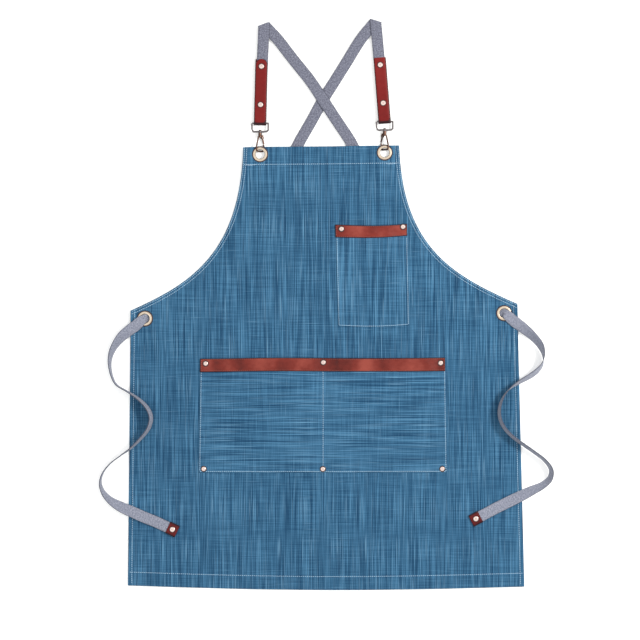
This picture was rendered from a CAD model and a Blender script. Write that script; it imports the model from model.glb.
import math

import bpy
import numpy as np
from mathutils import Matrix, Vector


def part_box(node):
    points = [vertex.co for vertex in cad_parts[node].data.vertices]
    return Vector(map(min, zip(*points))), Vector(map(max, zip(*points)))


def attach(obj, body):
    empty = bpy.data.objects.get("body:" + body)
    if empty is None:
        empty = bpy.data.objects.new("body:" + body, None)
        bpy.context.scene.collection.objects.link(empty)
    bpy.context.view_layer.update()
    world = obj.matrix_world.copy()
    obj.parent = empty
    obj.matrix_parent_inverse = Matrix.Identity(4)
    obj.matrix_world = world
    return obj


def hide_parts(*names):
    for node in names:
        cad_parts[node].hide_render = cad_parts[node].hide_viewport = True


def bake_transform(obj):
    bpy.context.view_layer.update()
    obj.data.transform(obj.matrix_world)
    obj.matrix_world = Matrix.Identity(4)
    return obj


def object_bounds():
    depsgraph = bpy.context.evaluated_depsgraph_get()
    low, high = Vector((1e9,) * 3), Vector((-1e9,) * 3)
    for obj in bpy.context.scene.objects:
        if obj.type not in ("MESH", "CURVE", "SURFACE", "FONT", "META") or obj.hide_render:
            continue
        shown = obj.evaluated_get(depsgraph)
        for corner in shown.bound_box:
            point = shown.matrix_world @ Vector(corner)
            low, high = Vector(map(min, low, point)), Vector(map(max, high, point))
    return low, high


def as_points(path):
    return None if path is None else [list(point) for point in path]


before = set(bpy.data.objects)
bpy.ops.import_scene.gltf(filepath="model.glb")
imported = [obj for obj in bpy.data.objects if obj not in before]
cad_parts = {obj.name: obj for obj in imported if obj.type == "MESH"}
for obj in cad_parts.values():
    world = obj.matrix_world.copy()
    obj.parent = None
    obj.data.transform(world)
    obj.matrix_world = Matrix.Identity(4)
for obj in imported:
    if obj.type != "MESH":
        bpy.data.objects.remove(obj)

CAD_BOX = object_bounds()

# All shapes below are worked out in millimetres and turned into metres by MM.
MM = 0.001


def add_object(name, data):
    thing = bpy.data.objects.new(name, data)
    bpy.context.scene.collection.objects.link(thing)
    return thing


# ---------------------------------------------------------------- camera

CAMERA_HEIGHT = 4000
FRAME_WIDTH = 1139.2
FRAME_CENTRE = (-7.1, 85.4)
SENSOR = 36.0


def make_camera():
    data = bpy.data.cameras.new("camera")
    data.sensor_width = SENSOR
    data.lens = SENSOR * CAMERA_HEIGHT / FRAME_WIDTH
    data.clip_end = 50
    camera = add_object("camera", data)
    camera.location = (FRAME_CENTRE[0] * MM, FRAME_CENTRE[1] * MM, CAMERA_HEIGHT * MM)
    bpy.context.scene.camera = camera


make_camera()


# ---------------------------------------------------------------- sizes taken from the frame


def box(node):
    """Lowest and highest corner of a CAD node, in millimetres."""
    low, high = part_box(node)
    return np.array(low) / MM, np.array(high) / MM


def middle(node):
    low, high = box(node)
    return (low + high) / 2


def top_of(node):
    return box(node)[1][2]


SIDES = ("left", "right")
EYELETS = {name: middle(name + "_eyelet")[:2]
           for name in ("left_bib", "right_bib", "left_waist", "right_waist")}
BIB_BACK = top_of("left_bib_washer")
CLOTH = 1.5
BAR_Z = BIB_BACK + CLOTH / 2

BIB_LEFT, BIB_RIGHT = np.array([-143.6, 393.5]), np.array([133.7, 396.5])
SIDE_LEFT, SIDE_RIGHT = np.array([-344.0, 102.0]), np.array([344.0, 114.0])
HEM_LEFT, HEM_RIGHT = np.array([-349.0, -387.0]), np.array([356.5, -389.0])
HEM_BOW = 7

CHEST_X, CHEST_Y = (22, 151), (74, 256)
CHEST_BAND_X = (21, 150)
WAIST_X, WAIST_Y = (-220, 216), (-186, 17)
BAND_H = 24
CHEST_CELLS = [(38, 134)]
WAIST_CELLS = [(-204, -10), (7, 201)]
CHEST_RIVETS = [(31, 247.2), (140.4, 251)]
WAIST_RIVETS_TOP = [(-210.4, 8), (-1.2, 10), (207.5, 9)]
WAIST_RIVETS_LOW = [(-214, -179.5), (-2, -179.8), (210.5, -179.5)]

WEB_W, WEB_T = 20, 1.6
TAB_W, TAB_L, TAB_T = 22, 114, 1.5
BARS = {"left": np.array([-113.6, 391.4]), "right": np.array([107.8, 394.4])}
LOOP_TOP = 43.7
LEAN = {"left": -1.4, "right": 4.5}
FOLD = {"left": (-106.8, 610.5), "right": (91.8, 616.8)}
TAB_RIVETS = (33, 101)

# Middle line of each strap from its fold, across, behind the bib and down to the far eyelet
STRAP_LINE = {
    "left": [(-81.9, 583.8, 3.1), (-55, 549, 3.1), (-25.8, 512.6, 3.1), (-1.8, 477, 3.1),
             (22, 441, 3.0), (45.4, 405.8, 2.2), (54, 390, 1.5), (80, 345, 1.0), (115, 291, 1.0),
             (160, 224, 1.0), (212, 160, 1.0), (258, 119, 1.0), (303, 95.5, 1.0)],
    "right": [(65, 583.8, 2.6), (42, 547, 1.6), (20.5, 512.6, 1.05), (-1.8, 477, 1.0),
              (-21.5, 441, 1.0), (-41.8, 405.8, 1.0), (-50, 390, 1.0), (-75, 345, 1.0),
              (-108, 290, 1.0), (-155, 220, 1.0), (-208, 152, 1.0), (-255, 109, 1.0),
              (-301, 85.5, 1.0)],
}
FOLD_BACK_Z = {"left": 3.1, "right": 3.1}

# Routes of the ties: place, roll about the run in degrees, width
TIE_LINE = {
    "left": [
        [-303, 86, 1.2, 0, 14], [-311, 87, 1.4, 0, 14], [-316, 88, 3, 0, 13],
        [-319, 88, 6.2, 0, 14], [-325, 84, 8.6, -5, 18], [-335, 75, 8.8, -12, 20],
        [-346, 67, 9.6, -20, 20], [-358, 57, 10, -32, 20], [-368, 45, 10.6, -50, 20],
        [-376, 31, 11.2, -64, 20], [-380, 16, 11.4, -75, 20], [-380, 1, 11.4, -82, 20],
        [-376, -16, 11.6, -86, 20], [-368, -30, 11.8, -88, 20], [-350, -41, 12.4, -88, 20],
        [-330, -54, 12.6, -83, 20], [-314, -70, 12.6, -78, 20], [-307, -88, 12.6, -76, 20],
        [-312, -108, 12.6, -77, 20], [-328, -128, 12.6, -80, 20], [-345, -144, 12.4, -84, 20],
        [-362, -156, 11.8, -88, 20], [-380, -170, 11.4, -89, 20], [-393, -187, 11.2, -88, 20],
        [-397, -205, 11.2, -84, 20], [-391, -222, 11, -73, 20], [-378, -236, 9.8, -55, 20],
        [-360, -247, 7.8, -30, 20], [-340, -256, 6, -14, 20], [-320, -265, 4.6, -5, 20],
        [-300, -273, 4, 0, 20], [-287, -279, 4, 0, 20], [-274, -285, 4, 0, 20]],
    "right": [
        [305, 96, 1.2, 0, 14], [313, 97, 1.4, 0, 14], [318, 98, 3, 0, 13], [321, 98, 6.2, 0, 14],
        [327, 93, 8.6, 5, 18], [338, 83, 8.8, 12, 20], [350, 74, 9.4, 22, 20],
        [363, 63.5, 10, 35, 20], [373, 54, 10.6, 47, 20], [383, 42, 11.2, 56, 20],
        [388.5, 29, 11.4, 74, 20], [389.5, 18, 11.6, 90, 20], [387, 6, 11.6, 106, 20],
        [378, -5, 11.8, 117, 20], [366, -14, 12.2, 118, 20], [350, -23, 12.6, 112, 20],
        [333, -34, 12.6, 100, 20], [320, -48, 12.6, 90, 20], [312, -68, 12.6, 83, 20],
        [312, -88, 12.6, 80, 20], [320, -106, 12.6, 78, 20], [335, -122, 12.6, 77, 20],
        [354, -136, 12.4, 76, 20], [374, -150, 12, 76, 20], [392, -164, 11.4, 76, 20],
        [403, -180, 11.2, 74, 20], [401, -196, 11, 68, 20], [388, -208, 10.4, 58, 20],
        [372, -216, 9.8, 44, 20], [352, -226, 8.6, 26, 20], [330, -237, 6.2, 12, 20],
        [308, -248, 4.6, 4, 20], [291, -257, 4, 0, 20], [275, -265.5, 4, 0, 20]],
}
TIE_END = {"left": (-269.5, -287, -26), "right": (270, -268, 208)}
TIE_TAB = (18, 22)
TIE_END_Z = 4


# ---------------------------------------------------------------- small maths


def ease(v, low, high):
    """Smooth step from 0 at low to 1 at high."""
    t = np.clip((np.asarray(v, float) - low) / (high - low), 0, 1)
    return t * t * (3 - 2 * t)


def unit(v):
    v = np.asarray(v, float)
    return v / np.linalg.norm(v)


def turned(v):
    return np.array([v[1], -v[0]])


def apart(x, y, place):
    return np.hypot(x - place[0], y - place[1])


def waves(x, y, seed, count, shortest, longest, tall=1.0):
    """Sum of soft random waves between about -1 and 1; tall stretches them along Y."""
    rng = np.random.RandomState(seed)
    total = np.zeros_like(np.asarray(x, float))
    for _ in range(count):
        length = rng.uniform(shortest, longest)
        angle = rng.uniform(0, 2 * math.pi)
        phase = rng.uniform(0, 2 * math.pi)
        kx = 2 * math.pi / length * math.cos(angle)
        ky = 2 * math.pi / length * math.sin(angle) / tall
        total = total + np.sin(kx * x + ky * y + phase)
    return total / math.sqrt(count) * 0.7


def distance_to_line(x, y, line):
    """Distance of points to a polyline, and the third value of the line at the nearest place."""
    best = np.full(np.shape(x), 1e9)
    value = np.zeros(np.shape(x))
    for a, b in zip(line[:-1], line[1:]):
        dx, dy = b[0] - a[0], b[1] - a[1]
        t = np.clip(((x - a[0]) * dx + (y - a[1]) * dy) / (dx * dx + dy * dy), 0, 1)
        d = np.hypot(x - a[0] - t * dx, y - a[1] - t * dy)
        closer = d < best
        best = np.where(closer, d, best)
        if len(a) > 2:
            value = np.where(closer, a[2] + t * (b[2] - a[2]), value)
    return best, value


def smooth_line(points, step):
    """Catmull-Rom curve through the points, resampled about every step millimetres."""
    p = np.asarray(points, float)
    p = np.vstack([2 * p[0] - p[1], p, 2 * p[-1] - p[-2]])
    dense = []
    for i in range(1, len(p) - 2):
        for t in np.linspace(0, 1, 24, endpoint=False):
            a, b, c, d = p[i - 1], p[i], p[i + 1], p[i + 2]
            dense.append(0.5 * (2 * b + (c - a) * t + (2 * a - 5 * b + 4 * c - d) * t * t
                                + (3 * b - a - 3 * c + d) * t ** 3))
    dense.append(p[-2])
    dense = np.array(dense)
    lengths = np.linalg.norm(np.diff(dense[:, :3], axis=0), axis=1)
    along = np.concatenate([[0], np.cumsum(lengths)])
    stops = np.linspace(0, along[-1], max(2, int(round(along[-1] / step)) + 1))
    return np.array([np.interp(stops, along, dense[:, k]) for k in range(dense.shape[1])]).T


# ---------------------------------------------------------------- materials


class Graph:
    """Node graph of one material, with short calls for the nodes it uses."""

    def __init__(self, name):
        self.material = bpy.data.materials.new(name)
        self.material.use_nodes = True
        self.tree = self.material.node_tree
        self.tree.nodes.clear()
        self.shader = self.node("BsdfPrincipled")
        self.put(self.node("OutputMaterial").inputs[0], self.shader.outputs[0])
        self.coords = self.node("TexCoord")

    def node(self, kind):
        return self.tree.nodes.new("ShaderNode" + kind)

    def put(self, socket, value):
        if isinstance(value, bpy.types.NodeSocket):
            self.tree.links.new(value, socket)
        else:
            socket.default_value = value

    def set(self, **values):
        for name, value in values.items():
            self.put(self.shader.inputs[name.replace("_", " ")], value)

    def scaled(self, scale, source="Object"):
        node = self.node("Mapping")
        self.put(node.inputs["Vector"], self.coords.outputs[source])
        node.inputs["Scale"].default_value = scale
        return node.outputs[0]

    def noise(self, vector, detail, rough, distortion=0.0):
        node = self.node("TexNoise")
        self.put(node.inputs["Vector"], vector)
        node.inputs["Scale"].default_value = 1
        node.inputs["Detail"].default_value = detail
        node.inputs["Roughness"].default_value = rough
        node.inputs["Distortion"].default_value = distortion
        return node.outputs[0]

    def cells(self, vector):
        node = self.node("TexVoronoi")
        node.feature = "SMOOTH_F1"
        self.put(node.inputs["Vector"], vector)
        node.inputs["Scale"].default_value = 1
        return node.outputs[0]

    def math(self, operation, a, b):
        node = self.node("Math")
        node.operation = operation
        self.put(node.inputs[0], a)
        self.put(node.inputs[1], b)
        return node.outputs[0]

    def blend(self, parts, base=0.5):
        """base plus the sum of weight times (value - 0.5)."""
        total = base
        for value, weight in parts:
            term = self.math("MULTIPLY", self.math("SUBTRACT", value, 0.5), weight)
            total = self.math("ADD", term, total)
        return total

    def ramp(self, value, stops):
        node = self.node("ValToRGB")
        self.put(node.inputs[0], value)
        elements = node.color_ramp.elements
        while len(elements) < len(stops):
            elements.new(0.5)
        for element, (place, colour) in zip(elements, stops):
            element.position = place
            element.color = (*colour, 1)
        return node.outputs[0]

    def step(self, value, low, high):
        node = self.node("MapRange")
        node.interpolation_type = "SMOOTHSTEP"
        self.put(node.inputs["Value"], value)
        node.inputs["From Min"].default_value = low
        node.inputs["From Max"].default_value = high
        return node.outputs[0]

    def mix(self, fac, a, b):
        node = self.node("Mix")
        node.data_type = "RGBA"
        self.put(node.inputs[0], fac)
        self.put(node.inputs[6], a if isinstance(a, bpy.types.NodeSocket) else (*a, 1))
        self.put(node.inputs[7], b if isinstance(b, bpy.types.NodeSocket) else (*b, 1))
        return node.outputs[2]

    def attribute(self, name):
        node = self.node("Attribute")
        node.attribute_name = name
        return node.outputs["Fac"]

    def bump(self, height, distance):
        node = self.node("Bump")
        node.inputs["Strength"].default_value = 1
        node.inputs["Distance"].default_value = distance
        self.put(node.inputs["Height"], height)
        self.put(self.shader.inputs["Normal"], node.outputs[0])


CLOTH_DARK = (0.004, 0.040, 0.096)
CLOTH_MEAN = (0.022, 0.090, 0.175)
CLOTH_LIGHT = (0.062, 0.182, 0.310)
CLOTH_PALE = (0.180, 0.360, 0.520)


def slub_cloth(name, sideways=False, lighter=0.0):
    """Slub cotton: streaks of thick and thin dyed yarn along the grain, finer ones across it."""
    g = Graph(name)

    def yarn(across, along, through, detail, rough):
        scale = (along, across, through) if sideways else (across, along, through)
        return g.noise(g.scaled(scale), detail, rough)

    fine = yarn(1000, 10, 60, 1, 0.6)
    middling = yarn(520, 6, 40, 1, 0.5)
    broad = yarn(60, 2, 40, 1, 0.5)
    across = yarn(14, 1000, 40, 1, 0.6)
    faded = g.noise(g.scaled((7, 7, 7)), 2, 0.5)
    tone = g.blend([(fine, 2.2), (middling, 0.7), (broad, 0.1), (across, 0.95), (faded, 0.12)],
                   0.5 + lighter)
    colour = g.ramp(tone, [(0.1, CLOTH_DARK), (0.5, CLOTH_MEAN), (0.9, CLOTH_LIGHT)])
    slub = yarn(900, 14, 60, 0, 0.4)
    cross_slub = yarn(20, 950, 90, 0, 0.4)
    pale = g.math("MAXIMUM", g.step(slub, 0.62, 0.78), g.step(cross_slub, 0.72, 0.9))
    colour = g.mix(g.math("MULTIPLY", pale, 0.4), colour, CLOTH_PALE)
    dark = yarn(800, 9, 70, 0, 0.4)
    colour = g.mix(g.math("MULTIPLY", g.step(dark, 0.62, 0.76), 0.5), colour, CLOTH_DARK)
    weave = g.noise(g.scaled((1500, 1500, 300)), 1, 0.5)
    height = g.blend([(fine, 1.0), (across, 0.8), (weave, 0.7)])
    g.set(Base_Color=colour, Roughness=g.blend([(fine, 0.2)], 0.86))
    g.set(Specular_IOR_Level=0.2, Sheen_Weight=0.06, Sheen_Roughness=0.5)
    g.bump(height, 0.00035)
    return g.material


def leather(name, dark, mean, light, cloudy, edge_w=2.2):
    """Oiled red leather: soft clouds across the strip, fine grain, dark burnished edges."""
    g = Graph(name)
    cloud = g.noise(g.scaled((22, 9, 9)), 1, 0.4, distortion=0.4)
    mottle = g.noise(g.scaled((120, 150, 130)), 3, 0.6)
    tone = g.blend([(cloud, cloudy), (mottle, 0.3)])
    colour = g.ramp(tone, [(0.2, dark), (0.5, mean), (0.8, light)])
    edge = g.step(g.attribute("edge"), 0.5, edge_w)
    colour = g.mix(edge, (0.020, 0.003, 0.005), colour)
    grain = g.cells(g.scaled((1400, 1400, 1400)))
    pull = g.noise(g.scaled((90, 260, 120)), 3, 0.6)
    g.set(Base_Color=colour, Roughness=g.blend([(mottle, 0.3), (cloud, 0.3)], 0.45))
    g.set(Specular_IOR_Level=0.2)
    g.bump(g.blend([(grain, 0.4), (pull, 1.0)]), 0.0004)
    return g.material


def webbing(name, dark, mean, light, edge_colour):
    """Grey-violet cotton webbing, woven in a fine twill that follows the strip's own map."""
    g = Graph(name)
    rib = g.noise(g.scaled((260, 900, 1), "UV"), 2, 0.6)
    mottle = g.noise(g.scaled((420, 420, 1), "UV"), 2, 0.6)
    slanted = g.scaled((1, 1, 1), "UV")
    slanted.node.inputs["Rotation"].default_value = (0, 0, math.radians(38))
    twill = g.node("TexWave")
    g.put(twill.inputs["Vector"], slanted)
    twill.inputs["Scale"].default_value = 210
    twill.inputs["Distortion"].default_value = 0.6
    tone = g.blend([(rib, 1.0), (mottle, 1.3), (twill.outputs["Fac"], 0.3)])
    colour = g.ramp(tone, [(0.2, dark), (0.5, mean), (0.8, light)])
    selvedge = g.step(g.attribute("edge"), 0.1, 0.9)
    colour = g.mix(selvedge, edge_colour, colour)
    g.set(Base_Color=colour, Roughness=0.9, Specular_IOR_Level=0.2, Sheen_Weight=0.15)
    g.bump(g.blend([(twill.outputs["Fac"], 1.0), (rib, 0.6)]), 0.0003)
    return g.material


def thread(name, colour, dark):
    g = Graph(name)
    twist = g.noise(g.scaled((2600, 2600, 2600)), 1, 0.5)
    g.set(Base_Color=g.ramp(twist, [(0.3, dark), (0.7, colour)]), Roughness=0.8)
    g.set(Specular_IOR_Level=0.3)
    return g.material


def metal(name, colour, tarnish, rough, spots=0.5, rim=0.0, flat=0.95, metallic=1.0):
    """Plated metal with uneven gloss, tarnished in patches and on its steep sides."""
    g = Graph(name)
    cloud = g.noise(g.scaled((260, 260, 260)), 3, 0.6)
    speck = g.noise(g.scaled((1300, 1300, 1300)), 2, 0.6)
    worn = g.step(g.blend([(cloud, 1.2), (speck, 0.8)]), 0.35, 0.75)
    patches = g.math("MULTIPLY", worn, spots)
    parts = g.node("SeparateXYZ")
    g.put(parts.inputs[0], g.node("NewGeometry").outputs["Normal"])
    steep = g.math("SUBTRACT", 1.0, g.step(parts.outputs["Z"], flat - 0.1, flat))
    fac = g.math("MAXIMUM", patches, g.math("MULTIPLY", steep, rim))
    g.set(Base_Color=g.mix(fac, colour, tarnish), Metallic=metallic)
    g.set(Roughness=g.blend([(cloud, 0.25), (speck, 0.15)], rough))
    g.bump(speck, 0.00006)
    return g.material


def stage_material():
    g = Graph("floor_paper")
    tooth = g.noise(g.scaled((30, 30, 30)), 2, 0.5)
    g.set(Base_Color=g.ramp(tooth, [(0.2, (0.930, 0.935, 0.915)), (0.8, (0.950, 0.955, 0.935))]))
    g.set(Roughness=0.95, Specular_IOR_Level=0.1)
    g.set(Emission_Color=(1, 1, 1, 1), Emission_Strength=0.22)
    return g.material


PANEL_CLOTH = slub_cloth("panel_cloth")
CHEST_CLOTH = slub_cloth("chest_pocket_cloth", lighter=0.055)
WAIST_CLOTH = slub_cloth("waist_pocket_cloth", sideways=True, lighter=0.065)
CHEST_LEATHER = leather("chest_band_leather", (0.080, 0.0060, 0.0040),
                        (0.190, 0.0220, 0.0140), (0.320, 0.0650, 0.0450), 1.3)
WAIST_LEATHER = leather("waist_band_leather", (0.050, 0.0040, 0.0030),
                        (0.160, 0.0190, 0.0120), (0.270, 0.0500, 0.0340), 1.25)
TAB_LEATHER = leather("tab_leather", (0.105, 0.0040, 0.0030), (0.165, 0.0060, 0.0050),
                      (0.225, 0.0150, 0.0120), 0.7)
TIE_TAB_LEATHER = leather("tie_tab_leather", (0.060, 0.0030, 0.0030), (0.100, 0.0050, 0.0050),
                          (0.150, 0.0100, 0.0090), 0.7, 4.5)
WEBBING = webbing("grey_webbing", (0.078, 0.082, 0.116), (0.156, 0.162, 0.212),
                  (0.270, 0.278, 0.338), (0.070, 0.073, 0.102))
TIE_WEBBING = webbing("tie_webbing", (0.145, 0.155, 0.205), (0.240, 0.255, 0.320),
                      (0.360, 0.375, 0.450), (0.085, 0.088, 0.115))
PALE_THREAD = thread("pale_blue_thread", (0.58, 0.76, 0.90), (0.40, 0.58, 0.74))
RED_THREAD = thread("rust_thread", (0.34, 0.12, 0.10), (0.20, 0.05, 0.04))
EYELET_GOLD = metal("eyelet_gold", (0.74, 0.62, 0.48), (0.060, 0.032, 0.022), 0.34, 0.2, 0.97,
                    1.005)
RIVET_ROSE = metal("rivet_rose", (0.86, 0.69, 0.63), (0.10, 0.05, 0.04), 0.40, 0.10, 0.9, 0.8)
DARK_RING = metal("dark_ring", (0.050, 0.022, 0.020), (0.020, 0.010, 0.010), 0.55, metallic=0.0)
NICKEL = metal("loop_nickel", (0.19, 0.170, 0.175), (0.12, 0.105, 0.105), 0.6, 0.5)
COPPER = metal("hook_copper", (0.150, 0.085, 0.062), (0.030, 0.016, 0.013), 0.42, 0.6, 0.8)
STEEL = metal("pin_steel", (0.26, 0.24, 0.23), (0.10, 0.09, 0.09), 0.4)


# ---------------------------------------------------------------- mesh making


def make_piece(name, points, faces, material, body, uv=None, edge=None):
    """A piece from points in millimetres; uv and edge are given for each point."""
    mesh = bpy.data.meshes.new(name)
    mesh.from_pydata((np.asarray(points, float) * MM).tolist(), [], [list(map(int, f)) for f in faces])
    mesh.polygons.foreach_set("use_smooth", [True] * len(mesh.polygons))
    if uv is not None:
        corner = np.empty(len(mesh.loops), int)
        mesh.loops.foreach_get("vertex_index", corner)
        layer = mesh.uv_layers.new(name="weave")
        layer.data.foreach_set("uv", (np.asarray(uv, float)[corner] * MM).ravel())
    if edge is not None:
        layer = mesh.attributes.new("edge", "FLOAT", "POINT")
        layer.data.foreach_set("value", np.asarray(edge, float))
    mesh.materials.append(material)
    mesh.update()
    piece = add_object(name, mesh)
    if body:
        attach(piece, body)
    return piece


# Each wall of a grid cell: its neighbour in the padded grid, and the two corners it joins
WALLS = [((0, 1), 1, 0), ((2, 1), 3, 2), ((1, 0), 0, 3), ((1, 2), 2, 1)]


def closed_sheet(x, y, back, front, keep=None):
    """Points and faces of a closed sheet over a grid, with walls round every kept part."""
    rows, cols = x.shape
    if keep is None:
        keep = np.ones((rows - 1, cols - 1), bool)
    count = rows * cols
    points = np.vstack([np.column_stack([x.ravel(), y.ravel(), front.ravel()]),
                        np.column_stack([x.ravel(), y.ravel(), back.ravel()])])
    at = np.arange(count).reshape(rows, cols)
    faces = []
    a, b, c, d = at[:-1, :-1], at[:-1, 1:], at[1:, 1:], at[1:, :-1]
    quads = np.stack([a, b, c, d], axis=-1)[keep]
    faces.extend(quads.tolist())
    faces.extend((quads[:, ::-1] + count).tolist())
    padded = np.zeros((rows + 1, cols + 1), bool)
    padded[1:-1, 1:-1] = keep
    for r, s in np.argwhere(keep):
        corners = at[r, s], at[r, s + 1], at[r + 1, s + 1], at[r + 1, s]
        for (down, right), i, j in WALLS:
            if not padded[r + down, s + right]:
                near, far = corners[i], corners[j]
                faces.append([near, far, far + count, near + count])
    used = np.zeros(2 * count, bool)
    flat = np.array(faces)
    used[flat.ravel()] = True
    index = np.cumsum(used) - 1
    return points[used], index[flat], used


STRIP = [(-1, -0.4), (-1, 0.4), (-0.95, 1), (-0.5, 1), (0, 1), (0.5, 1), (0.95, 1), (1, 0.4),
         (1, -0.4), (0.95, -1), (0.5, -1), (0, -1), (-0.5, -1), (-0.95, -1)]


def strip_mesh(stops):
    """Swept strip; a stop is (centre, half-width vector, out vector, along, skew, curl)."""
    points, uv, edge, faces = [], [], [], []
    n = len(STRIP)
    for centre, half, out, along, skew, curl in stops:
        for a, b in STRIP:
            points.append(centre + half * a + out * (b + curl * (a * a - 0.4)))
            uv.append((a * np.linalg.norm(half), along + a * skew))
            edge.append((1 - abs(a)) * np.linalg.norm(half))
    for i in range(len(stops) - 1):
        for j in range(n):
            k = (j + 1) % n
            faces.append([i * n + j, (i + 1) * n + j, (i + 1) * n + k, i * n + k])
    last = (len(stops) - 1) * n
    faces.append(list(range(n)))
    faces.append([last + j for j in reversed(range(n))])
    return points, faces, uv, edge


def make_strip(name, stops, material, body, slot, *nodes):
    """A swept strip that stands in for the CAD nodes named."""
    points, faces, uv, edge = strip_mesh(stops)
    piece = make_piece(name, points, faces, material, body, uv, edge)
    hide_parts(*nodes)
    return piece


# ---------------------------------------------------------------- height of the cloth


def outside(x, y, x0, x1, y0, y1):
    """Distance outside a rectangle."""
    return np.hypot(np.maximum(np.maximum(x0 - x, x - x1), 0),
                    np.maximum(np.maximum(y0 - y, y - y1), 0))


BODY_T = 1.1
HEM_T = 1.7
SIDE_HEM, ARM_HEM, TOP_HEM, BOTTOM_HEM = 9, 8, 34, 24
LOW_BIB = 1.0


def armhole(top, side, way):
    t = np.linspace(0, 1, 81)[:, None]
    p1, p2 = top + np.array([way * 6, -181]), side + np.array([-way * 118, 52])
    return (1 - t) ** 3 * top + 3 * (1 - t) ** 2 * t * p1 + 3 * (1 - t) * t * t * p2 + t ** 3 * side


LEFT_ARM = armhole(BIB_LEFT, SIDE_LEFT, -1)
RIGHT_ARM = armhole(BIB_RIGHT, SIDE_RIGHT, 1)


def hem_line():
    t = np.linspace(0, 1, 25)
    p = HEM_LEFT + (HEM_RIGHT - HEM_LEFT) * t[:, None]
    p[:, 1] -= HEM_BOW * np.sin(math.pi * t)
    return p


HEM_LINE = hem_line()


def cloth_back(x, y):
    """Height of the underside of the panel: on the ground below, carried by its parts above."""
    lift = np.zeros(np.shape(x))
    for at in EYELETS.values():
        near = 1 - ease(apart(x, y, at), 16, 85)
        lift = 1 - (1 - lift) * (1 - near)
    near = 1 - ease(outside(x, y, CHEST_X[0], CHEST_X[1], CHEST_Y[0], CHEST_Y[1]), 0, 85)
    lift = 1 - (1 - lift) * (1 - near)
    level = LOW_BIB + (BIB_BACK - LOW_BIB) * lift
    for line in STRAP_LINE.values():
        d, z = distance_to_line(x, y, line)
        need = z + WEB_T / 2 + 0.35
        level = level + np.maximum(need - level, 0) * (1 - ease(d, 10.5, 34))
    rise = ease(y, 26, 66)
    level = 0.4 + (level - 0.4) * rise
    still = fixed_places(x, y)
    soft = 0.32 * waves(x, y, 5, 7, 70, 190, 1.6) + 0.14 * waves(x, y, 9, 7, 26, 60, 2.0) + 0.3
    return level + soft * still


def fixed_places(x, y):
    """0 where rivets and eyelets hold the cloth, 1 away from them."""
    still = np.ones(np.shape(x))
    for p in CHEST_RIVETS + WAIST_RIVETS_TOP + WAIST_RIVETS_LOW:
        still = still * ease(apart(x, y, p), 5, 30)
    for p in EYELETS.values():
        still = still * ease(apart(x, y, p), 14, 45)
    return still


def panel_edges(x, y):
    """Distances to the sides, armholes, top and bottom edges."""
    sides = np.minimum(distance_to_line(x, y, [SIDE_LEFT, HEM_LEFT])[0],
                       distance_to_line(x, y, [SIDE_RIGHT, HEM_RIGHT])[0])
    arms = np.minimum(distance_to_line(x, y, LEFT_ARM[::4])[0],
                      distance_to_line(x, y, RIGHT_ARM[::4])[0])
    top = distance_to_line(x, y, [BIB_LEFT, BIB_RIGHT])[0]
    bottom = distance_to_line(x, y, HEM_LINE)[0]
    return sides, arms, top, bottom


def panel_surfaces(x, y):
    """Heights of the panel's underside and top, thicker and a little puckered along its hems."""
    sides, arms, top, bottom = panel_edges(x, y)
    hems = ((sides, SIDE_HEM), (arms, ARM_HEM), (top, TOP_HEM), (bottom, BOTTOM_HEM))
    turned_in = np.zeros(np.shape(x))
    for d, width in hems:
        turned_in = np.maximum(turned_in, 1 - ease(d, width - 0.7, width + 0.7))
    thick = BODY_T + (HEM_T - BODY_T) * turned_in
    for p in EYELETS.values():
        near = 1 - ease(apart(x, y, p), 13, 20)
        thick = thick + (CLOTH - thick) * near
    back = cloth_back(x, y)
    pucker = 0.0
    for d, width in hems:
        pucker = pucker + np.exp(-((d - width + 1.5) / 3.0) ** 2) * waves(x, y, 21, 6, 11, 17)
    back = back + 0.13 * pucker * fixed_places(x, y) + 0.1
    front = back + thick
    edge = np.minimum(np.minimum(sides, arms), np.minimum(top, bottom))
    pinch = (1 - ease(edge, 0, 0.7)) * 0.34 * thick
    return np.maximum(back, 0.05) + pinch, front - pinch


def cloth_front(x, y):
    """Top of the panel away from its edges."""
    return cloth_back(x, y) + BODY_T + 0.1


# ---------------------------------------------------------------- apron panel


def arm_stops(top, side, way, wanted):
    """Points on the armhole: about every 3 mm, and at the wanted depths below the top."""
    line = armhole(top, side, way)
    lengths = np.concatenate([[0], np.cumsum(np.linalg.norm(np.diff(line, axis=0), axis=1))])
    depth = top[1] - line[:, 1]
    share = np.linspace(0, 1, 122)
    for w in wanted:
        share[np.argmin(abs(share * lengths[-1] - np.interp(w, depth, lengths)))] = \
            np.interp(w, depth, lengths) / lengths[-1]
    s = share * lengths[-1]
    return np.column_stack([np.interp(s, lengths, line[:, 0]), np.interp(s, lengths, line[:, 1])])


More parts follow.
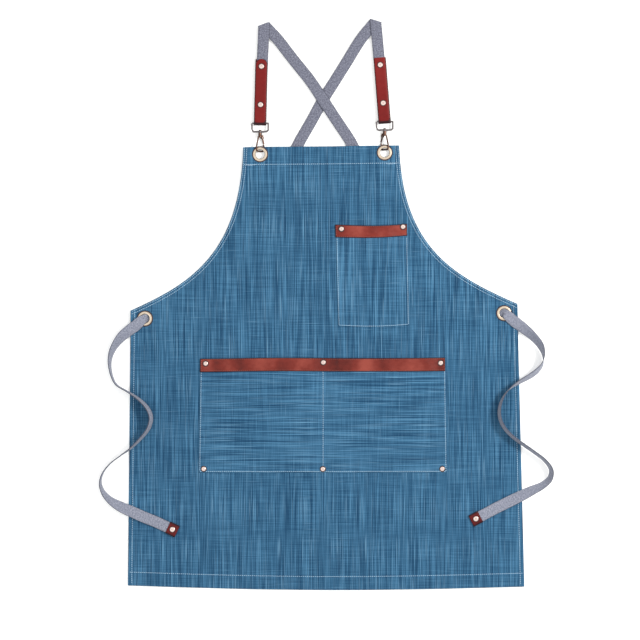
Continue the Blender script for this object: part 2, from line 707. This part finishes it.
def panel_grid():
    wanted = (0.7, 3.0, TOP_HEM - 1.2, TOP_HEM, TOP_HEM + 1.2)
    left_arm = arm_stops(BIB_LEFT, SIDE_LEFT, -1, wanted)[::-1]
    right_arm = arm_stops(BIB_RIGHT, SIDE_RIGHT, 1, wanted)[::-1]
    tall = SIDE_LEFT[1] - HEM_LEFT[1]
    low = np.array([0, 0.7, 3, 6, 10, 14, 18, 21, 23, 24, 25, 28])
    stops = np.concatenate([low, np.linspace(32, tall, 128)[:-1]]) / tall
    left = np.vstack([HEM_LEFT + (SIDE_LEFT - HEM_LEFT) * stops[:, None], left_arm])
    right = np.vstack([HEM_RIGHT + (SIDE_RIGHT - HEM_RIGHT) * stops[:, None], right_arm])
    near = np.array([0, 0.7, 2.5, 4.5, 6.5, 8, 9.2, 10.6, 13])
    inner = np.linspace(0, 1, 190)[1:-1]
    width = np.linalg.norm(right - left, axis=1)[:, None]
    share = np.hstack([near / width, near[-1] / width + (1 - 2 * near[-1] / width) * inner,
                       1 - near[::-1] / width])
    x = left[:, :1] + (right - left)[:, :1] * share
    y = left[:, 1:] + (right - left)[:, 1:] * share
    below = np.concatenate([stops * tall, np.full(len(left_arm), 1e3)])[:, None]
    y = y - HEM_BOW * np.sin(math.pi * share) * (1 - ease(below, 0, 160))
    return x, y


def open_eyelets(x, y, radius):
    """Cells to keep round the eyelets, with the rim of each hole moved onto a circle."""
    keep = np.ones((x.shape[0] - 1, x.shape[1] - 1), bool)
    for at in EYELETS.values():
        r = apart(x, y, at)
        inside = r < radius
        keep &= ~(inside[:-1, :-1] | inside[:-1, 1:] | inside[1:, 1:] | inside[1:, :-1])
        gone = np.zeros_like(inside)
        for dr in (0, 1):
            for dc in (0, 1):
                gone[dr:dr + keep.shape[0], dc:dc + keep.shape[1]] |= ~keep
        rim = gone & ~inside & (r < radius + 8)
        x[rim] = at[0] + (x[rim] - at[0]) * radius / r[rim]
        y[rim] = at[1] + (y[rim] - at[1]) * radius / r[rim]
    return keep


def make_panel():
    x, y = panel_grid()
    keep = open_eyelets(x, y, 9.3)
    back, front = panel_surfaces(x, y)
    points, faces, _ = closed_sheet(x, y, back, front, keep)
    piece = make_piece("apron_panel_cloth", points, faces, PANEL_CLOTH, "root")
    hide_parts("apron_panel")


make_panel()


# ---------------------------------------------------------------- pockets and their bands


def cell_gap(x, cells, side):
    """0 along the sewn edges of each cell, 1 in its middle."""
    gap = np.zeros(np.shape(x))
    for a, b in cells:
        gap = np.maximum(gap, ease(np.minimum(x - a, b - x), -side, side * 2.2))
    return gap


POCKET_T = 1.2


def pocket_front(x, y, pocket):
    """Height of a pocket's outer side: flat at its seams, a little open at its mouth."""
    _, ys, cells = pocket
    rise = ease(y, ys[0] + 4, ys[1])
    gap = 2.6 * cell_gap(x, cells, 11) * (0.25 + 0.75 * rise) * ease(y, ys[0] + 3, ys[0] + 45)
    ripple = 0.35 * waves(x, y, 31, 8, 28, 80) * ease(gap, 0.1, 1.4)
    return cloth_front(x, y) + np.maximum(gap + ripple, 0) + POCKET_T


def graded(a, b, step, near=(0.6, 2.5, 5)):
    """Values from a to b about every step, closer together near both ends."""
    mid = np.linspace(a + 8, b - 8, int((b - a - 16) / step) + 1)
    near = np.array(near)
    return np.concatenate([[a], a + near, mid, b - near[::-1], [b]])


def wobble(along, seed, size):
    return size * waves(along, np.zeros_like(along), seed, 4, 90, 260)


def chest_shape(x, y):
    """The chest pocket as sewn: mouth and bottom sag in the middle, sides lean to the right."""
    across = (x - CHEST_X[0]) / (CHEST_X[1] - CHEST_X[0])
    down = (CHEST_Y[1] - y) / (CHEST_Y[1] - CHEST_Y[0])
    sag = np.sin(math.pi * np.clip(across, 0, 1))
    mouth = -1.1 + 1.2 * across - 2.4 * sag
    bottom = 0.6 + 1.6 * across - 2.8 * sag
    left = -1.5 + 4.4 * down
    right = -2.5 + 3.5 * down
    return (x + left * (1 - across) + right * across,
            y + mouth * (1 - down) + bottom * down)


def waist_shape(x, y):
    """The waist pocket as sewn: its left side leans out and its mouth waves a little."""
    across = (x - WAIST_X[0]) / (WAIST_X[1] - WAIST_X[0])
    down = (WAIST_Y[1] - y) / (WAIST_Y[1] - WAIST_Y[0])
    mouth = 0.4 + 0.9 * across + 0.8 * np.sin(math.pi * (across * 2.6 - 0.35))
    return x + 3 * down * (2 * across - 1), y + mouth * (1 - down)


def edge_distance(x, y, xs, ys):
    """Distance inwards from the nearest edge of a rectangle."""
    return np.minimum(np.minimum(x - xs[0], xs[1] - x), np.minimum(y - ys[0], ys[1] - y))


def make_pocket(name, node, pocket, shape, material, seed):
    xs, ys, _ = pocket
    gx, gy = np.meshgrid(graded(xs[0], xs[1], 3), graded(ys[0], ys[1], 3))
    edge = edge_distance(gx, gy, xs, ys)
    x, y = shape(gx + wobble(gy, seed, 0.4), gy + wobble(gx, seed + 1, 0.3))
    front = pocket_front(x, y, pocket)
    pinch = (1 - ease(edge, 0, 0.6)) * 0.35 * POCKET_T
    back = front - POCKET_T + 0.06
    points, faces, _ = closed_sheet(x, y, back + pinch, front - pinch)
    piece = make_piece(name, points, faces, material, "root")
    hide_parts(node)


def band_squeeze(x, y, xs, y_top, shape):
    """How far the lower part of the chest band is drawn up, most at its right end."""
    if shape is not chest_shape:
        return 0.0
    return (0.9 + 2.1 * (x - xs[0]) / (xs[1] - xs[0])) * (y_top - y) / BAND_H


def make_band(name, node, xs, pocket, shape, material, seed):
    y_top = pocket[1][1]
    ys = (y_top - BAND_H, y_top)
    gx, gy = np.meshgrid(graded(xs[0], xs[1], 2.2), graded(ys[0], ys[1], 1.6, (0.5, 1.2, 2.4, 4)))
    edge = edge_distance(gx, gy, xs, ys)
    x, y = shape(gx + wobble(gy, seed, 0.3), gy + wobble(gx, seed + 1, 0.4))
    y = y + band_squeeze(gx, gy, xs, y_top, shape)
    under = pocket_front(x, y, pocket)
    soft = 0.45 * waves(x, y, seed + 2, 9, 16, 44, 0.5) * ease(edge, 0, 5) * fixed_places(x, y)
    thick = 1.25 - 0.25 * np.exp(-((edge - 1.8) / 0.8) ** 2)
    front = under + thick + np.maximum(soft, -0.5)
    pinch = (1 - ease(edge, 0, 0.7)) * 0.4
    back = under + 0.05
    points, faces, used = closed_sheet(x, y, back + pinch * 0.3, front - pinch)
    both = np.concatenate([edge.ravel(), edge.ravel()])[used]
    piece = make_piece(name, points, faces, material, "root", edge=both)
    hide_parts(node)


CHEST = (CHEST_X, CHEST_Y, CHEST_CELLS)
WAIST = (WAIST_X, WAIST_Y, WAIST_CELLS)
make_pocket("chest_pocket_cloth", "chest_pocket", CHEST, chest_shape, CHEST_CLOTH, 41)
make_pocket("waist_pocket_cloth", "waist_pocket", WAIST, waist_shape, WAIST_CLOTH, 51)
make_band("chest_pocket_leather", "chest_pocket_band", CHEST_BAND_X, CHEST, chest_shape,
          CHEST_LEATHER, 61)
make_band("waist_pocket_leather", "waist_pocket_band", WAIST_X, WAIST, waist_shape,
          WAIST_LEATHER, 71)


# ---------------------------------------------------------------- webbing straps


def in_plane(v):
    return np.array([v[0], v[1], 0.0])


def tab_frame(side):
    """Origin on the loop's upper bar, the way along the strap, and the way across it."""
    a = math.radians(LEAN[side])
    origin = np.array([BARS[side][0], BARS[side][1] + LOOP_TOP, BAR_Z])
    return origin, np.array([-math.sin(a), math.cos(a), 0]), np.array([math.cos(a), math.sin(a), 0])


UP = np.array([0, 0, 1.0])
FOLD_REACH = 30.0


def steps(path, travelled=0):
    """Each place of a path, with the ones before and after it and the way travelled so far."""
    for i, p in enumerate(path):
        if i:
            travelled += np.linalg.norm(p[:3] - path[i - 1][:3])
        yield p, path[max(i - 1, 0)], path[min(i + 1, len(path) - 1)], travelled


def strap_stops(side):
    origin, along_way, _ = tab_frame(side)
    start = (origin + along_way * (TAB_RIVETS[0] - 7))[:2]
    fold = np.array(FOLD[side])
    line = smooth_line([(*fold, FOLD_BACK_Z[side])] + STRAP_LINE[side], 3)
    d_in = unit(fold - start)
    d_out = unit(line[3][:2] - line[0][:2])
    crease = unit(d_in + d_out)
    n_in = turned(d_in)
    if n_in @ crease < 0:
        n_in = -n_in
    k = WEB_W / (2 * (crease @ n_in))
    skew = (crease @ d_in) * k
    half_t = WEB_T / 2
    stops = []
    run = np.linalg.norm(fold - start)
    for s in np.linspace(0, 1, 36):
        centre = start + (fold - start) * s
        half = n_in * WEB_W / 2 * (1 - s) + crease * k * s
        stops.append((in_plane(centre) + UP * BAR_Z, in_plane(half), UP * half_t,
                      run * s, skew * s, 0))
    ahead = np.array([-crease[1], crease[0]])
    if ahead @ d_in < 0:
        ahead = -ahead
    r = (BAR_Z - FOLD_BACK_Z[side]) / 2
    for a in np.linspace(0, math.pi, 11)[1:-1]:
        centre = in_plane(fold + ahead * r * math.sin(a)) + UP * (BAR_Z - r + r * math.cos(a))
        out = in_plane(ahead) * math.sin(a) + UP * math.cos(a)
        stops.append((centre, in_plane(crease * k), out * half_t, run + r * a, skew, 0))
    for p, a, b, travelled in steps(line, run + r * math.pi):
        n = turned(unit((b - a)[:2]))
        if n @ crease < 0:
            n = -n
        s = 1 - min(1, np.linalg.norm(p[:2] - fold) / FOLD_REACH)
        half = n * WEB_W / 2 * (1 - s) + crease * k * s
        out = -unit(np.cross(unit(b[:3] - a[:3]), in_plane(n)))
        if out[2] > 0:
            out = -out
        stops.append((p[:3], in_plane(half), out * half_t, travelled, skew * s, 0))
    return stops


def make_strap(side):
    piece = make_strip(side + "_webbing", strap_stops(side), WEBBING, None, "webbing",
                       side + "_shoulder_strap", side + "_back_strap")
    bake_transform(piece)


for strap_side in SIDES:
    make_strap(strap_side)


# ---------------------------------------------------------------- leather tabs


def tab_path():
    """Middle line of the tab's leather, as places along the strap and heights."""
    z = WEB_T / 2 + TAB_T / 2
    r = 1.6 + TAB_T / 2
    low = [(s, -z) for s in np.linspace(TAB_L, 12, 52)]
    into = [(9, -z), (5.5, -z - 0.25), (2.5, -r + 0.12)]
    turn = [(-0.5 + r * math.cos(a), r * math.sin(a))
            for a in np.linspace(-math.pi / 2, -3 * math.pi / 2, 15)]
    return np.array(low + into + turn + [(s, -h) for s, h in reversed(into)]
                    + [(s, z) for s in np.linspace(12, TAB_L - 11, 48)])


def make_tab(side, corner):
    origin, along_way, across = tab_frame(side)
    path = tab_path()
    end = [TAB_L - corner + corner * math.sin(a) for a in np.linspace(0, math.pi / 2, 10)]
    start = TAB_L - 11
    tail = [(s, path[-1][1]) for s in end if s > start + 0.5]
    path = np.vstack([path, tail])
    stops = []
    for i, (p, a, b, travelled) in enumerate(steps(path)):
        t = unit(b - a)
        out = along_way * -t[1] + UP * t[0]
        width = TAB_W / 2
        if i > len(path) // 2:
            past = max(0.0, p[0] - (TAB_L - corner))
            width = TAB_W / 2 - corner + math.sqrt(max(corner ** 2 - past ** 2, 0.01))
        centre = origin + along_way * p[0] + UP * p[1]
        stops.append((centre, across * width, out * TAB_T / 2, travelled, 0, 0))
    points, faces, uv, edge = strip_mesh(stops)
    # The leather is burnished at the fold too, so its edge value also falls off towards the loop.
    places = np.repeat(path[:, 0], len(STRIP))
    edge = np.minimum(edge, np.maximum(0.3, places - 0.2))
    piece = make_piece(side + "_tab_leather", points, faces, TAB_LEATHER, "harness",
                       uv, edge)
    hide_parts(side + "_strap_tab")


make_tab("left", 10)
make_tab("right", 2)


# ---------------------------------------------------------------- ties


def tie_stops(side):
    stops = []
    for p, a, b, travelled in steps(smooth_line(TIE_LINE[side], 2.5)):
        run = unit(b[:3] - a[:3])
        flat = unit(np.cross(UP, run))
        up = np.cross(run, flat)
        roll = math.radians(p[3])
        across = flat * math.cos(roll) + up * math.sin(roll)
        out = up * math.cos(roll) - flat * math.sin(roll)
        curl = (1 - p[4] / WEB_W) * 5
        stops.append((p[:3], across * p[4] / 2, out * WEB_T / 2, travelled, 0, curl))
    return stops


def make_tie(side):
    """The tie, its route and its length, in metres."""
    stops = tie_stops(side)
    piece = make_strip(side + "_tie_webbing", stops, TIE_WEBBING, "root", "webbing", side + "_tie")
    return piece, [s[0] * MM for s in stops], stops[-1][3] * MM


def make_tie_tab(side):
    """Leather folded over the end of the tie, its fold at the very end."""
    at = TIE_END[side]
    turn = math.radians(at[2])
    ahead = np.array([math.cos(turn), math.sin(turn), 0])
    across = np.array([-math.sin(turn), math.cos(turn), 0])
    origin = np.array([at[0], at[1], TIE_END_Z])
    far = TIE_TAB[0] / 2
    z = WEB_T / 2 + 0.45
    path = [(s, -z) for s in np.linspace(-far, far - 2, 9)]
    path += [(far - 1.3 + 1.25 * math.cos(a), z * math.sin(a))
             for a in np.linspace(-math.pi / 2, math.pi / 2, 9)]
    path += [(s, z) for s in np.linspace(far - 2, -far, 9)]
    path = np.array(path)
    stops = []
    for p, a, b, travelled in steps(path):
        t = unit(b - a)
        out = ahead * t[1] - UP * t[0]
        stops.append((origin + ahead * p[0] + UP * p[1], across * TIE_TAB[1] / 2, out * 0.45,
                      travelled, 0, 0))
    return make_strip(side + "_tie_leather", stops, TIE_TAB_LEATHER, "root", "red_leather",
                      side + "_tie_tab")


def declare_ties():
    for side in SIDES:
        tie, path, length = make_tie(side)
        tab = make_tie_tab(side)
        tuple(path[0])
        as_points(path)


declare_ties()


# ---------------------------------------------------------------- stitches

STITCH = 2.4
PITCH = 3.5
THREAD_R = 0.42


def stitches_along(line, height):
    """Low capsules of thread along a line of places, sunk at both ends."""
    line = np.asarray(line, float)
    lengths = np.concatenate([[0], np.cumsum(np.linalg.norm(np.diff(line, axis=0), axis=1))])
    points, faces = [], []
    rings = [(-1, 0.3), (-0.75, 0.85), (0, 1), (0.75, 0.85), (1, 0.3)]
    sides = 6
    for s in np.arange(PITCH / 2, lengths[-1], PITCH):
        a = np.array([np.interp(s - 0.5, lengths, line[:, k]) for k in range(2)])
        b = np.array([np.interp(s + 0.5, lengths, line[:, k]) for k in range(2)])
        c, d = (a + b) / 2, unit(b - a)
        n = turned(d)
        places = [c + d * STITCH / 2 * t for t, _ in rings]
        tops = height(np.array([p[0] for p in places]), np.array([p[1] for p in places]))
        base = len(points)
        for (t, r), p, z in zip(rings, places, tops):
            for j in range(sides):
                angle = 2 * math.pi * j / sides
                q = p + n * THREAD_R * r * math.cos(angle)
                points.append((q[0], q[1], z + 0.1 - 0.22 * t * t + THREAD_R * r * math.sin(angle)))
        for i in range(len(rings) - 1):
            for j in range(sides):
                k = (j + 1) % sides
                faces.append([base + i * sides + j, base + i * sides + k,
                              base + (i + 1) * sides + k, base + (i + 1) * sides + j])
        faces.append([base + j for j in reversed(range(sides))])
        faces.append([base + (len(rings) - 1) * sides + j for j in range(sides)])
    return points, faces


def make_stitches(name, runs, material, body):
    points, faces = [], []
    for line, height in runs:
        p, f = stitches_along(line, height)
        faces += [[i + len(points) for i in face] for face in f]
        points += p
    return make_piece(name, points, faces, material, body)


def inset(line, distance, way):
    """The line moved sideways by distance."""
    line = np.asarray(line, float)
    d = np.gradient(line, axis=0)
    d = d / np.linalg.norm(d, axis=1)[:, None]
    return line + np.column_stack([d[:, 1], -d[:, 0]]) * distance * way


def panel_top(x, y):
    return panel_surfaces(x, y)[1]


def between(a, b, count=60):
    a, b = np.asarray(a, float), np.asarray(b, float)
    return a + (b - a) * np.linspace(0, 1, count)[:, None]


BAR_TACKS = [(-130, 361.2), (119, 363.4)]


def panel_stitch_runs():
    top = TOP_HEM - 2
    runs = [inset(LEFT_ARM, ARM_HEM - 1.5, -1), inset(RIGHT_ARM, ARM_HEM - 1.5, 1),
            inset(LEFT_ARM, 2.2, -1), inset(RIGHT_ARM, 2.2, 1),
            between(SIDE_LEFT + (SIDE_HEM - 2, -2), HEM_LEFT + (SIDE_HEM - 2, 3)),
            between(SIDE_RIGHT + (2 - SIDE_HEM, -2), HEM_RIGHT + (2 - SIDE_HEM, 3)),
            HEM_LINE * (0.992, 1) + (0, BOTTOM_HEM),
            between(BIB_LEFT + (0.5, -top), BIB_RIGHT + (-0.5, -top))]
    for x, y in BAR_TACKS:
        zigzag = [(x - 9 + 1.3 * i, y + (0.8 if i % 2 else -0.8)) for i in range(15)]
        runs.append(np.array(zigzag))
    return [(line, panel_top) for line in runs]


def on_pocket(pocket):
    return lambda x, y: pocket_front(x, y, pocket)


def on_band(pocket):
    return lambda x, y: pocket_front(x, y, pocket) + 1.15


def shaped(line, shape):
    return np.column_stack(shape(line[:, 0], line[:, 1]))


def pocket_stitch_runs():
    runs = []
    for pocket, shape in ((CHEST, chest_shape), (WAIST, waist_shape)):
        (x0, x1), (y0, y1) = pocket[0], pocket[1]
        top = y1 - BAND_H - 0.5
        inside = 2.0
        corners = [(x0 + inside, top), (x0 + inside, y0 + inside), (x1 - inside, y0 + inside),
                   (x1 - inside, top)]
        for a, b in zip(corners[:-1], corners[1:]):
            runs.append((shaped(between(a, b), shape), on_pocket(pocket)))
    seam = between((-1.6, WAIST_Y[1] - BAND_H), (-1.6, WAIST_Y[0] + 2))
    runs.append((shaped(seam, waist_shape), on_pocket(WAIST)))
    return runs


def band_stitch_runs():
    runs = []
    for pocket, xs, shape in ((CHEST, CHEST_BAND_X, chest_shape), (WAIST, WAIST_X, waist_shape)):
        y_top = pocket[1][1]
        y0, y1 = y_top - BAND_H + 2.2, y_top - 1.8
        corners = [(xs[0] + 2, y1), (xs[0] + 2, y0), (xs[1] - 2, y0), (xs[1] - 2, y1)]
        for a, b in zip(corners, corners[1:] + corners[:1]):
            flat = between(a, b, 200)
            line = shaped(flat, shape)
            line[:, 1] += band_squeeze(*flat.T, xs, y_top, shape)
            runs.append((line, on_band(pocket)))
    return runs


make_stitches("panel_stitches", panel_stitch_runs(), PALE_THREAD, "root")
make_stitches("pocket_stitches", pocket_stitch_runs(), PALE_THREAD, "root")
make_stitches("band_stitches", band_stitch_runs(), RED_THREAD, "root")


# ---------------------------------------------------------------- rims and metal finishes


# Inner and outer radius of each rim, and how far its base lies under the top of its metal part
POCKET_RIM, POCKET_RIM_DROP = (4.0, 5.5), 0.78
TIE_RIM, TIE_RIM_DROP = (4.5, 5.5), 0.7
TAB_RIM, TAB_RIM_DROP = (4.5, 5.5), 0.85
EYELET_RIM, EYELET_RIM_DROP = (11.9, 14.4), 0.45
# Least height of a pocket rim's base over the cloth or leather
RIM_LIFT = 0.3
# Section of a rim: share of the way from its inner to its outer radius, and height
RIM_SECTION = [(0, 0), (0.15, 0.22), (0.6, 0.26), (1, 0), (0.5, -0.1)]
RIM_SIDES = 36


def low_rims(name, rims, body):
    """Low dark rims; a rim is (centre, inner and outer radius, height of its base)."""
    points, faces = [], []
    n = len(RIM_SECTION)
    for centre, (inner, outer), z in rims:
        base = len(points)
        for i in range(RIM_SIDES):
            a = 2 * math.pi * i / RIM_SIDES
            for share, height in RIM_SECTION:
                r = inner + (outer - inner) * share
                points.append((centre[0] + r * math.cos(a), centre[1] + r * math.sin(a), z + height))
        for i in range(RIM_SIDES):
            here, there = base + i * n, base + (i + 1) % RIM_SIDES * n
            for j in range(n):
                k = (j + 1) % n
                faces.append([here + j, here + k, there + k, there + j])
    make_piece(name, points, faces, DARK_RING, body)


def pocket_rims():
    rims = []
    for places, surface, node in (
            (CHEST_RIVETS, on_band(CHEST), "chest_pocket_rivets"),
            (WAIST_RIVETS_TOP, on_band(WAIST), "waist_pocket_rivets"),
            (WAIST_RIVETS_LOW, on_pocket(WAIST), None)):
        for p in places:
            z = float(surface(np.array(p[0]), np.array(p[1]))) + RIM_LIFT
            if node:
                z = max(z, top_of(node) - POCKET_RIM_DROP)
            rims.append((p, POCKET_RIM, z))
    return rims


def make_rims():
    """Dark rims round the pocket rivets, the tie rivets, the eyelets and the tab rivets."""
    fixed = pocket_rims()
    for side in SIDES:
        node = side + "_tie_rivet"
        fixed.append((middle(node)[:2], TIE_RIM, top_of(node) - TIE_RIM_DROP))
    for name, at in EYELETS.items():
        fixed.append((at, EYELET_RIM, top_of(name + "_eyelet") - EYELET_RIM_DROP))
    low_rims("dark_rims", fixed, "root")
    for side in SIDES:
        origin, along_way, _ = tab_frame(side)
        z = top_of(side + "_tab_rivets") - TAB_RIM_DROP
        low_rims(side + "_tab_dark_rims",
                 [((origin + along_way * s)[:2], TAB_RIM, z) for s in TAB_RIVETS], "harness")


make_rims()


def finish_nodes(names, material):
    for name in names:
        for slot in bpy.data.objects[name].material_slots:
            slot.material = material


def both_sides(*endings):
    return [side + ending for side in SIDES for ending in endings]


finish_nodes(both_sides("_bib_eyelet", "_waist_eyelet", "_bib_washer", "_waist_washer"), EYELET_GOLD)
finish_nodes(["chest_pocket_rivets", "chest_pocket_rivet_backs", "waist_pocket_rivets",
              "waist_pocket_rivet_backs"], RIVET_ROSE)
finish_nodes(both_sides("_tab_rivets", "_tab_rivet_backs", "_tie_rivet", "_tie_rivet_back"),
             RIVET_ROSE)
finish_nodes(both_sides("_loop"), NICKEL)
finish_nodes(both_sides("_hook", "_gate", "_swivel"), COPPER)
finish_nodes(both_sides("_gate_pin", "_gate_spring"), STEEL)


# ---------------------------------------------------------------- stage and light


FLOOR_SIZE = 6000
FLOOR_GAP = 0.25
LIGHT_AIM = (0, 0.1, 0)
# Name, place, size, power and colour of each lamp, in metres and watts
LAMPS = [("key", (1.9, 0.7, 2.0), 0.6, 58, (1, 0.99, 0.965)),
         ("fill", (-1.8, -0.4, 2.6), 1.6, 16, (0.97, 0.98, 1))]
# Height on the dome and its grey there
DOME = [(0.05, (0.40, 0.40, 0.41, 1)), (0.75, (1.0, 1.0, 1.0, 1))]
DOME_STRENGTH = 0.96


def make_floor():
    low = float(CAD_BOX[0][2]) / MM - FLOOR_GAP
    n = 7
    places = np.linspace(-FLOOR_SIZE / 2, FLOOR_SIZE / 2, n)
    gx, gy = np.meshgrid(places, places)
    points = np.column_stack([gx.ravel(), gy.ravel(), np.full(n * n, low)]) * MM
    faces = [[r * n + c, r * n + c + 1, (r + 1) * n + c + 1, (r + 1) * n + c]
             for r in range(n - 1) for c in range(n - 1)]
    mesh = bpy.data.meshes.new("floor")
    mesh.from_pydata(points.tolist(), [], faces)
    mesh.materials.append(stage_material())
    floor = add_object("floor", mesh)


def area_light(name, place, size, power, colour):
    data = bpy.data.lights.new(name, "AREA")
    data.shape = "DISK"
    data.size = size
    data.energy = power
    data.color = colour
    lamp = add_object(name, data)
    lamp.location = place
    way = np.array(LIGHT_AIM, float) - np.array(place, float)
    lamp.rotation_euler = Vector(way).to_track_quat("-Z", "Y").to_euler()


def make_light():
    """A pale dome, brighter overhead than at the horizon, and a soft key from the right."""
    world = bpy.data.worlds.new("studio")
    world.use_nodes = True
    tree = world.node_tree
    sky = tree.nodes["Background"]
    coords = tree.nodes.new("ShaderNodeTexCoord")
    parts = tree.nodes.new("ShaderNodeSeparateXYZ")
    ramp = tree.nodes.new("ShaderNodeValToRGB")
    tree.links.new(coords.outputs["Generated"], parts.inputs[0])
    tree.links.new(parts.outputs["Z"], ramp.inputs[0])
    tree.links.new(ramp.outputs[0], sky.inputs["Color"])
    for element, (place, grey) in zip(ramp.color_ramp.elements, DOME):
        element.position = place
        element.color = grey
    sky.inputs["Strength"].default_value = DOME_STRENGTH
    bpy.context.scene.world = world
    for lamp in LAMPS:
        area_light(*lamp)


make_floor()
make_light()
bpy.context.scene.view_settings.view_transform = "Standard"
